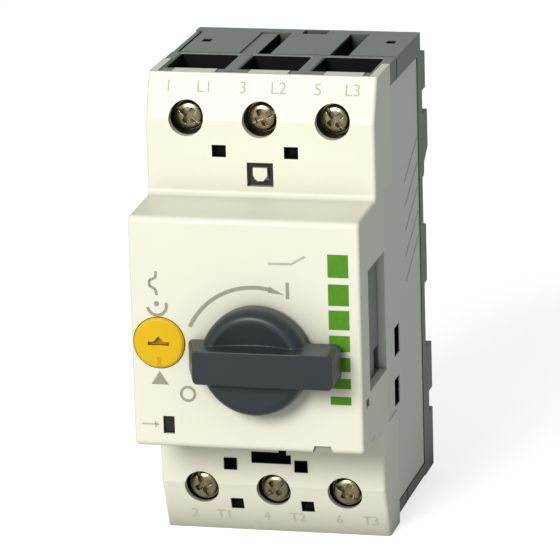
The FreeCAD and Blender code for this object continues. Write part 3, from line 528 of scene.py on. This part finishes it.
def make_dial():
    """Yellow button with a chamfered rim and a pointer-shaped driver slot with a darker floor."""
    low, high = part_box("setting_dial")
    front = low.y - DIAL_AXIS.y
    stem_end = high.y - DIAL_AXIS.y
    radius = 5.0 * MM
    neck_radius = radius - 1.2 * MM
    stem_radius = 2.0 * MM
    rim_back = FACE_Y + 1.8 * MM - DIAL_AXIS.y
    neck_back = rim_back + 0.8 * MM
    shape = bmesh.new()
    add_lathed(shape, [(0, stem_end), (stem_radius, stem_end), (stem_radius, neck_back),
                       (neck_radius, neck_back), (neck_radius, rim_back), (radius, rim_back),
                       (radius, front + 0.45 * MM), (radius - 0.4 * MM, front + 0.05 * MM),
                       (radius - 0.9 * MM, front), (0, front - 0.02 * MM)])
    cam_radius = 2.4 * MM
    cam_depth = 2 * MM
    cam_offset = 0.5 * MM
    cam = bmesh.ops.create_cone(shape, cap_ends=True, segments=64, radius1=cam_radius, radius2=cam_radius,
                                depth=cam_depth)["verts"]
    bmesh.ops.rotate(shape, verts=cam, cent=(0, 0, 0), matrix=Matrix.Rotation(math.pi / 2, 3, "X"))
    bmesh.ops.translate(shape, verts=cam, vec=(cam_offset, stem_end - cam_depth / 2, 0))
    bmesh.ops.translate(shape, verts=shape.verts, vec=DIAL_AXIS)
    dial = object_from_bmesh("dial_button", shape, MATERIALS["dial_plastic"])
    soften(dial, voxel=0.09 * MM, rounds=2)
    slot = [(-2.1, -0.4), (2.1, -0.4), (2.1, 0.3), (1.0, 0.3), (0, 1.4), (-1.0, 0.3), (-2.1, 0.3)]
    cut_with(dial, dial_prism("slot_cutter", slot, front - MM, front + MM, MATERIALS["dial_plastic"]))
    shade_by_angle(dial)
    thin = dial.modifiers.new("thin", "DECIMATE")
    thin.ratio = 0.35
    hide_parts("setting_dial")
    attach(dial, "dial")

    floor = [(x * 0.97, z * 0.95) for x, z in slot]
    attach(dial_prism("dial_slot_floor", floor, front + 0.75 * MM, front + 1.02 * MM, INK_ORANGE), "dial")
    rim_mark = bar(-0.45, 0.45, -4.5, -2.7)
    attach(dial_prism("dial_rim_mark", rim_mark, front - 0.01 * MM, front + 0.3 * MM, INK_AMBER), "dial")


def dial_prism(name, outline, start, end, material):
    """An outline of (x, z) places from the dial's axis, between two levels along it."""
    shape = bmesh.new()
    add_prism(shape, outline, start, end)
    bmesh.ops.translate(shape, verts=shape.verts, vec=DIAL_AXIS)
    return object_from_bmesh(name, shape, material, smooth=False)


def shade_by_angle(piece):
    """Smooth shading that stops at edges sharper than an angle."""
    mesh = piece.data
    for face in mesh.polygons:
        face.use_smooth = True
    mesh.set_sharp_from_angle(angle=math.radians(32))


# ------------------------------------------------------------------ terminal screws

# the rim of the head in the screw's own mesh, and how far its dome stands out
SCREW_RIM = -1.2 * MM
SCREW_DOME = 0.28 * MM
# how far each screw is turned, in degrees
SCREW_ANGLES = {"line": (38, -25, 52), "load": (64, -38, 30)}


def screw_mesh():
    """Plated combination-head screw: slot and cross in a low round head, captive washer, cut thread."""
    shape = bmesh.new()
    # radius and depth behind the rim in millimetres: dome, head, washer, core of the thread
    profile = [(0, -0.28), (0.9, -0.26), (1.8, -0.16), (2.4, 0.05), (2.62, 0.3), (2.65, 1.4),
               (3.2, 1.4), (3.2, 2.05), (1.6, 2.1), (1.6, 7.0), (0, 7.0)]
    add_lathed(shape, [(radius * MM, SCREW_RIM + depth * MM) for radius, depth in profile])
    add_thread(shape)
    screw = object_from_bmesh("screw_form", shape, MATERIALS["zinc_steel"])
    soften(screw, voxel=0.075 * MM, rounds=1)
    # half width, half height and depth of the slot, then of the two arms of the cross
    for half_x, half_z, depth in ((4, 0.42, 0.95), (0.5, 1.7, 1.3), (1.7, 0.5, 1.3)):
        cutter = bmesh.new()
        add_prism(cutter, bar(-half_x, half_x, -half_z, half_z), SCREW_RIM - MM, SCREW_RIM + depth * MM)
        cut_with(screw, object_from_bmesh("groove_cutter", cutter, MATERIALS["zinc_steel"], smooth=False))
    soften(screw, voxel=0.07 * MM, rounds=2, keep=0.35)
    mesh = screw.data
    bpy.data.objects.remove(screw)
    return mesh


def add_thread(shape):
    """A ridge wound round the core."""
    pitch = 0.7 * MM
    around = 28
    turns = 6
    start = SCREW_RIM + 2.5 * MM
    root = 1.3 * MM
    crest = 1.93 * MM
    root_half = 0.3 * MM
    crest_half = 0.04 * MM
    section = ((root, -root_half), (crest, -crest_half), (crest, crest_half), (root, root_half))
    rings = []
    for step in range(around * turns + 1):
        angle = 2 * math.pi * step / around
        middle = start + pitch * step / around
        rings.append([shape.verts.new((radius * math.cos(angle), middle + offset, radius * math.sin(angle)))
                      for radius, offset in section])
    add_skin(shape, rings)


def make_screws():
    mesh = screw_mesh()
    for end, angles in SCREW_ANGLES.items():
        for pole, angle in zip(POLES, angles):
            node = f"{end}_screw_{pole}"
            low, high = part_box(node)
            centre = (low + high) / 2
            rim = low.y + SCREW_DOME - SCREW_RIM
            copy = mesh.copy()
            copy.transform(Matrix.Rotation(math.radians(angle), 4, "Y"))
            copy.transform(Matrix.Translation((centre.x, rim, centre.z)))
            piece = bpy.data.objects.new(f"{end}_terminal_screw_{pole}", copy)
            bpy.context.scene.collection.objects.link(piece)
            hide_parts(node)
            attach(piece, f"{end}_screw_body_{pole}")


# ------------------------------------------------------------------ springs that a motion presses

def make_springs():
    """Copies each spring in place of its CAD node and hides the node. The seat at its fixed end is worked
    out but not used: the copy keeps its length.
    """
    springs = [(f"plunger_spring_{pole}", f"plunger_body_{pole}", "top") for pole in POLES]
    springs.append(("foot_spring", "foot", "bottom"))
    for node, body, fixed_end in springs:
        source = frame["nodes"][node]
        piece = bpy.data.objects.new("pressed_" + node, source.data.copy())
        piece.matrix_world = source.matrix_world
        bpy.context.scene.collection.objects.link(piece)
        low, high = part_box(node)
        seats = [low, Vector((low.x, low.y, high.z))]
        if fixed_end == "top":
            seats.reverse()
        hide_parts(node)
        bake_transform(piece)


# ------------------------------------------------------------------ printed marks

INK_THICKNESS = 0.04 * MM
# where the hood's sloping ends start: the shoulder's crease and the chin's lower edge
SHOULDER_Y = -44.0 * MM
SHOULDER_CREASE_Z = 38.0 * MM
CHIN_EDGE_Y = -37.1 * MM


class Face:
    """A flat face that marks are printed on: a place on it and its two directions."""

    def __init__(self, origin, up):
        self.origin = Vector(origin)
        self.across = Vector((1, 0, 0))
        self.up = Vector(up).normalized()
        self.out = self.across.cross(self.up)

    def matrix(self):
        columns = Matrix((self.across, self.up, self.out)).transposed().to_4x4()
        return Matrix.Translation(self.origin) @ columns


CENTRE_FACE = Face((0, FACE_Y, 0), (0, 0, 1))
# the slopes lean back above the shoulder's crease, and forward above the chin's lower edge
LINE_SLOPE = Face((0, SHOULDER_Y, SHOULDER_CREASE_Z), (0, 3.5, 8.5))
LOAD_SLOPE = Face((0, CHIN_EDGE_Y, HOOD_LOW.z), (0, -4.1, 10.5))


def print_mark(name, face, outlines, ink):
    """Thin raised ink. Each outline is a list of (across, up) places in millimetres on the face."""
    shape = bmesh.new()
    for outline in outlines:
        add_skin(shape, [[shape.verts.new((x * MM, y * MM, height)) for x, y in outline]
                         for height in (0, INK_THICKNESS)])
    bmesh.ops.transform(shape, matrix=face.matrix(), verts=shape.verts)
    bmesh.ops.triangulate(shape, faces=[item for item in shape.faces if len(item.verts) > 4])
    piece = object_from_bmesh(name, shape, ink, smooth=False)
    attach(piece, "housing")
    return piece


def stroke(points, width):
    """A line of even width along points, as one four-cornered outline for each stretch."""
    outlines = []
    for (x0, y0), (x1, y1) in zip(points, points[1:]):
        length = math.hypot(x1 - x0, y1 - y0)
        side_x = -(y1 - y0) / length * width / 2
        side_y = (x1 - x0) / length * width / 2
        outlines.append([(x0 + side_x, y0 + side_y), (x0 - side_x, y0 - side_y),
                         (x1 - side_x, y1 - side_y), (x1 + side_x, y1 + side_y)])
    return outlines


def band(centre, radius, width, start, end, steps=40):
    """Part of a ring, as four-cornered outlines side by side. Angles are in degrees."""
    outlines = []
    for step in range(steps):
        corners = []
        for fraction, reach in ((step, -0.5), (step, 0.5), (step + 1, 0.5), (step + 1, -0.5)):
            angle = math.radians(start + (end - start) * fraction / steps)
            distance = radius + reach * width
            corners.append((centre[0] + distance * math.cos(angle), centre[1] + distance * math.sin(angle)))
        outlines.append(corners)
    return outlines


def join_outlines(piece):
    """Joins the touching outlines of a mark into one closed skin, without the walls between them."""
    shape = bmesh.new()
    shape.from_mesh(piece.data)
    bmesh.ops.remove_doubles(shape, verts=shape.verts, dist=INK_THICKNESS / 20)
    by_corners = {}
    for face in shape.faces:
        corners = frozenset(vertex.index for vertex in face.verts)
        by_corners.setdefault(corners, []).append(face)
    walls = [face for faces in by_corners.values() if len(faces) > 1 for face in faces]
    bmesh.ops.delete(shape, geom=walls, context="FACES")
    bmesh.ops.recalc_face_normals(shape, faces=shape.faces)
    shape.to_mesh(piece.data)
    shape.free()


def circle_outline(x, y, radius):
    steps = 24
    angles = [2 * math.pi * step / steps for step in range(steps)]
    return [(x + radius * math.cos(angle), y + radius * math.sin(angle)) for angle in angles]


def make_front_marks():
    """The marks on the raised centre face, in millimetres from its middle."""
    make_turn_marks()
    # top and bottom of each green block; the lower ones are shorter
    blocks = [(16.5, 12.0), (10.7, 6.5), (5.6, 1.8), (0.65, -2.5), (-3.65, -6.4), (-7.8, -9.8),
              (-11.4, -13.0)]
    print_mark("colour_field", CENTRE_FACE, [bar(16.3, 20.3, low, high) for high, low in blocks], INK_GREEN)
    contact_lines = stroke([(4.8, 14.3), (9.5, 14.35)], 0.45) + stroke([(9.5, 14.5), (12.0, 15.9)], 0.45)
    print_mark("mark_contact_symbol", CENTRE_FACE, contact_lines, INK_PALE)
    make_dial_marks()
    test_arrow = stroke([(-21.0, -18.4), (-18.2, -18.4)], 0.3)
    test_arrow.append([(-18.4, -19.1), (-17.5, -18.4), (-18.4, -17.7)])
    print_mark("mark_test_symbol", CENTRE_FACE, test_arrow, INK_PALE)


def make_turn_marks():
    """The arrow round the handle, I for on and O for off."""
    centre_x = 2.0
    centre_y = -4.7
    radius = 14.2
    arc = band((centre_x, centre_y), radius, width=0.75, start=155, end=78)
    join_outlines(print_mark("mark_turn_arc", CENTRE_FACE, arc, INK_GREY))
    # the tip, a barb, the notch at the end of the arc and the other barb: degrees and reach past the arc
    head = []
    for degrees, reach in ((66, 0), (79, 0.62), (78, 0), (79, -0.62)):
        angle = math.radians(degrees)
        head.append((centre_x + (radius + reach) * math.cos(angle),
                     centre_y + (radius + reach) * math.sin(angle)))
    print_mark("mark_turn_arrow", CENTRE_FACE, [head], INK_GREY)
    print_mark("mark_on", CENTRE_FACE, [bar(8.1, 8.75, 7.5, 10.7)], INK_GREY)
    ring = band((-11.65, -12.1), 1.35, width=0.5, start=0, end=360, steps=48)
    join_outlines(print_mark("mark_off", CENTRE_FACE, ring, INK_GREY))


def make_dial_marks():
    """The pointer below the dial, and the dot, hook and bimetal symbol above it."""
    pointer = [(-18.8, -10.4), (-15.4, -10.4), (-17.1, -7.7)]
    print_mark("mark_dial_pointer", CENTRE_FACE, [pointer], INK_GREY)
    print_mark("mark_dial_dot", CENTRE_FACE, [circle_outline(-17.3, 5.6, 0.5)], INK_GREY)
    hook = band((-17.2, 5.2), 1.85, width=0.6, start=-170, end=20)
    join_outlines(print_mark("mark_dial_hook", CENTRE_FACE, hook, INK_GREY))
    strip = [(-17.2, 12.0), (-17.3, 10.8), (-18.6, 10.2), (-18.6, 9.1), (-17.4, 8.5), (-17.2, 7.3)]
    print_mark("mark_bimetal_symbol", CENTRE_FACE, stroke(strip, 0.5), INK_GREY)


def print_label(name, text, face, across, up, height):
    """Plain terminal marking in a generic face, as a thin closed mesh."""
    curve = bpy.data.curves.new(name, "FONT")
    curve.body = text
    curve.size = height * MM
    curve.extrude = INK_THICKNESS / 2
    curve.align_x = "CENTER"
    curve.align_y = "CENTER"
    writing = bpy.data.objects.new(name + "_writing", curve)
    bpy.context.scene.collection.objects.link(writing)
    graph = bpy.context.evaluated_depsgraph_get()
    mesh = bpy.data.meshes.new_from_object(writing.evaluated_get(graph))
    bpy.data.objects.remove(writing)
    mesh.transform(face.matrix() @ Matrix.Translation((across * MM, up * MM, INK_THICKNESS / 2)))
    mesh.materials.clear()
    mesh.materials.append(INK_PALE)
    piece = bpy.data.objects.new(name, mesh)
    bpy.context.scene.collection.objects.link(piece)
    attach(piece, "housing")


# ------------------------------------------------------------------ painted shade in deep openings

# the conductor entries across the width, in millimetres
POLE_CENTRES = (-14.5, 0, 14.3)
ENTRY_HALF_WIDTH = 5.6


def through_front(u, level, v):
    """The place of an outline's point (u, v) at a level of an opening that runs backwards."""
    return (u, level, v)


def through_top(u, level, v):
    """The same for an opening that runs up or down."""
    return (u, v, level)


def through_side(u, level, v):
    """The same for an opening that runs sideways."""
    return (level, u, v)


def centred_bar(middle, half_width, y_low, y_high):
    return bar(middle - half_width, middle + half_width, y_low, y_high)


def make_recess_shade():
    """Painted shade: near-black linings in the deep openings and a dark film on the latch groove's floor;
    also a grey film on the floor of the seal notch.
    """
    make_front_well_shade()
    make_entry_shade_linings()
    make_top_shade_linings()
    side_slots = [bar(-29.2, -24.4, -12.3, -6.4), bar(-29.8, -25.2, -22.4, -16.8)]
    make_shade_linings("right_slot_shade_linings", side_slots, through_side, mouth=22.1, end=20.75)
    make_shade_linings("left_slot_shade_linings", side_slots, through_side, mouth=-22.1, end=-20.75)
    make_recess_floors()


def make_front_well_shade():
    """Painted shade in the test holes beside the terminal screws and in the latch slot in the chin."""
    line_holes = [centred_bar(x, 1.4, 30.8, 33.2) for x in (-8.1, 6.1)]
    make_shade_linings("line_test_well_shade", line_holes, through_front, mouth=-43.8, end=-42.1)
    upper_holes = [centred_bar(x, 1.3, -32.8, -30.4) for x in (-8.4, 5.8)]
    make_shade_linings("load_test_well_shade_upper", upper_holes, through_front, mouth=-41.6, end=-38.0)
    lower_holes = [centred_bar(x, 1.3, -41.6, -39.2) for x in (-7.7, 6.5)]
    make_shade_linings("load_test_well_shade_lower", lower_holes, through_front, mouth=-38.8, end=-37.9)
    latch_slot = [(-4.1, -31.2), (3.8, -31.2), (3.8, -29.4), (2.9, -29.4), (2.9, -28.1), (1.4, -28.1),
                  (1.4, -28.9), (-4.1, -28.9)]
    make_shade_linings("latch_slot_well_shade", [latch_slot], through_front, mouth=-41.6, end=-38.9)


def make_entry_shade_linings():
    """Painted shade in the mouths of the six conductor entries, which go on into the housing."""
    line_entries = [centred_bar(x, ENTRY_HALF_WIDTH, -36.5, -24.0) for x in POLE_CENTRES]
    make_shade_linings("line_entry_shade_linings", line_entries, through_top, mouth=46.3, end=42.2, floor=False)
    load_entries = [centred_bar(x, ENTRY_HALF_WIDTH, -34.3, -21.8) for x in POLE_CENTRES]
    make_shade_linings("load_entry_shade_linings", load_entries, through_top, mouth=-46.2, end=-42.2, floor=False)


def make_top_shade_linings():
    """Painted shade in the grooves between the panels of the top and in the small notches in them."""
    grooves = [bar(left, right, -22.5, -2.2) for left, right in ((-5.5, -2.6), (9.2, 13), (-21.6, -20.8))]
    make_shade_linings("top_groove_shade_linings", grooves, through_top, mouth=46.1, end=43.3)
    notches = [bar(-18.9, -17.1, -13.5, -10.8), bar(17.8, 19.6, -11.3, -8.6)]
    make_shade_linings("top_notch_shade_linings", notches, through_top, mouth=46.35, end=45.3)


def make_recess_floors():
    """Painted shade on the floor of the latch groove round its tongue, and a grey film on that of the seal
    notch in the hood's lower edge.
    """
    groove_floor = Face((0, -42.9 * MM, 0), (0, 0, 1))
    print_mark("latch_groove_floor_shade", groove_floor, [
        bar(-2.65, -1.5, 25.25, 29.85), bar(1.3, 2.45, 25.25, 29.85), bar(-1.5, 1.3, 28.9, 29.85),
        bar(-1.5, 1.3, 25.25, 26.3)], RECESS_SHADE)
    notch_floor = Face((0, -58.7 * MM, 0), (0, 0, 1))
    notch_outline = [(12.15, -22.85), (16.75, -22.85), (16.05, -21.45), (12.95, -21.45)]
    print_mark("seal_notch_floor", notch_floor, [notch_outline], INK_GREY)


def square_inset(outline, distance):
    """The outline drawn in by a distance: its corners are square and it runs anticlockwise."""
    inset = []
    for before, corner, after in zip(outline[-1:] + outline[:-1], outline, outline[1:] + outline[:1]):
        u, v = corner
        for (u0, v0), (u1, v1) in ((before, corner), (corner, after)):
            length = math.hypot(u1 - u0, v1 - v0)
            u -= (v1 - v0) / length * distance
            v += (u1 - u0) / length * distance
        inset.append((u, v))
    return inset


def make_shade_linings(name, outlines, place, mouth, end, floor=True):
    """Thin near-black walls just inside openings, painting their shade, from the mouth to the end, in
    millimetres.

    'place' gives the way that the openings run.
    """
    wall = 0.12
    shape = bmesh.new()
    inner_end = end + math.copysign(wall, mouth - end) if floor else end
    for outline in outlines:
        inner = square_inset(outline, wall)
        outer_mouth, outer_end, inner_mouth, inner_floor = [
            [shape.verts.new(Vector(place(u, level, v)) * MM) for u, v in line]
            for line, level in ((outline, mouth), (outline, end), (inner, mouth), (inner, inner_end))]
        join_rings(shape, outer_mouth, outer_end)
        join_rings(shape, inner_floor, inner_mouth)
        join_rings(shape, inner_mouth, outer_mouth)
        if floor:
            shape.faces.new(outer_end)
            shape.faces.new(inner_floor)
        else:
            join_rings(shape, outer_end, inner_floor)
    shade_lining = object_from_bmesh(name, shape, LINING_SHADE, smooth=False)
    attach(shade_lining, "housing")


def make_terminal_labels():
    """Pole numbers and names beside the screws, each with its place across in millimetres."""
    line = (("1", -18.3), ("L1", -11.2), ("3", -3.6), ("L2", 3.4), ("5", 11.1), ("L3", 17.9))
    load = (("2", -16.6), ("T1", -10.6), ("4", -2.0), ("T2", 4.2), ("6", 12.6), ("T3", 18.9))
    for text, across in line:
        print_label("label_line_" + text, text, LINE_SLOPE, across, up=6.4, height=3.3)
    for text, across in load:
        print_label("label_load_" + text, text, LOAD_SLOPE, across, up=3.6, height=3.0)


# ------------------------------------------------------------------ floor, light and camera

# the middle of the object, where the light and the camera point
MIDDLE = Vector((0, -0.03, 0))


def make_stage():
    """A pale matt floor under the lowest point, which looks almost white to the camera."""
    floor_size = 4.0
    gap = 0.05 * MM
    camera_glow = 0.7
    shape = bmesh.new()
    bmesh.ops.create_grid(shape, x_segments=1, y_segments=1, size=floor_size)
    bmesh.ops.translate(shape, verts=shape.verts, vec=(0, 0, FLOOR_Z - gap))
    floor_look, nodes, links, shader = new_material("pale_floor")
    shader.inputs["Emission Color"].default_value = (1.0, 1.0, 1.0, 1.0)
    seen = nodes.new("ShaderNodeLightPath").outputs["Is Camera Ray"]
    links.new(ramp(nodes, links, seen, (0, 1), (0, camera_glow)), shader.inputs["Emission Strength"])
    place = nodes.new("ShaderNodeTexCoord").outputs["Object"]
    tone = noise(nodes, links, place, scale=6, detail=2)
    base = mix_colour(nodes, links, tone, (0.62, 0.62, 0.62), (0.66, 0.66, 0.66))
    links.new(base, shader.inputs["Base Color"])
    shader.inputs["Roughness"].default_value = 0.9
    shader.inputs["Specular IOR Level"].default_value = 0.1
    object_from_bmesh("floor", shape, floor_look, smooth=False)


def make_key_light():
    """A round soft light high in front and a little to the left."""
    place = Vector((-0.30, -1.36, 0.70))
    light = bpy.data.lights.new("key", "AREA")
    light.shape = "DISK"
    light.size = 0.6
    light.energy = 18.4
    light.color = (1.0, 0.985, 0.96)
    lamp = bpy.data.objects.new("key", light)
    lamp.location = place
    lamp.rotation_euler = (MIDDLE - place).to_track_quat("-Z", "Y").to_euler()
    bpy.context.scene.collection.objects.link(lamp)


def make_sky():
    """Even light from all round, slightly cool. To the camera it is plain white."""
    world = bpy.data.worlds.new("studio")
    bpy.context.scene.world = world
    world.use_nodes = True
    nodes = world.node_tree.nodes
    links = world.node_tree.links
    background = nodes["Background"]
    seen = nodes.new("ShaderNodeLightPath").outputs["Is Camera Ray"]
    links.new(mix_colour(nodes, links, seen, (0.88, 0.97, 1.0), (1.0, 1.0, 1.0)), background.inputs["Color"])
    links.new(ramp(nodes, links, seen, (0, 1), (0.35, 1.0)), background.inputs["Strength"])


def set_plain_colours():
    """Colours are shown as they are lit, with no film look."""
    view = bpy.context.scene.view_settings
    view.view_transform = "Standard"
    view.look = "None"


def make_camera():
    """The camera stands in front, a little to the right and above, far off with a long lens."""
    azimuth = math.radians(13.76)
    elevation = math.radians(15.57)
    roll = math.radians(-1.6)
    distance = 0.8913
    back = Vector((math.sin(azimuth) * math.cos(elevation), -math.cos(azimuth) * math.cos(elevation),
                   math.sin(elevation)))
    level_right = (-back).cross(Vector((0, 0, 1))).normalized()
    level_up = back.cross(level_right)
    right = math.cos(roll) * level_right + math.sin(roll) * level_up
    up = -math.sin(roll) * level_right + math.cos(roll) * level_up
    data = bpy.data.cameras.new("camera")
    data.sensor_width = 36
    data.lens = 292.5
    data.shift_x = -0.0023
    data.shift_y = 0.0249
    data.clip_end = 20
    camera = bpy.data.objects.new("camera", data)
    axes = Matrix((right, up, back)).transposed().to_4x4()
    camera.matrix_world = Matrix.Translation(MIDDLE + back * distance) @ axes
    bpy.context.scene.collection.objects.link(camera)
    bpy.context.scene.camera = camera


make_stage()
make_sky()
make_key_light()
set_plain_colours()
make_camera()
make_knob()
make_dial()
make_screws()
make_springs()
make_front_marks()
make_recess_shade()
make_terminal_labels()
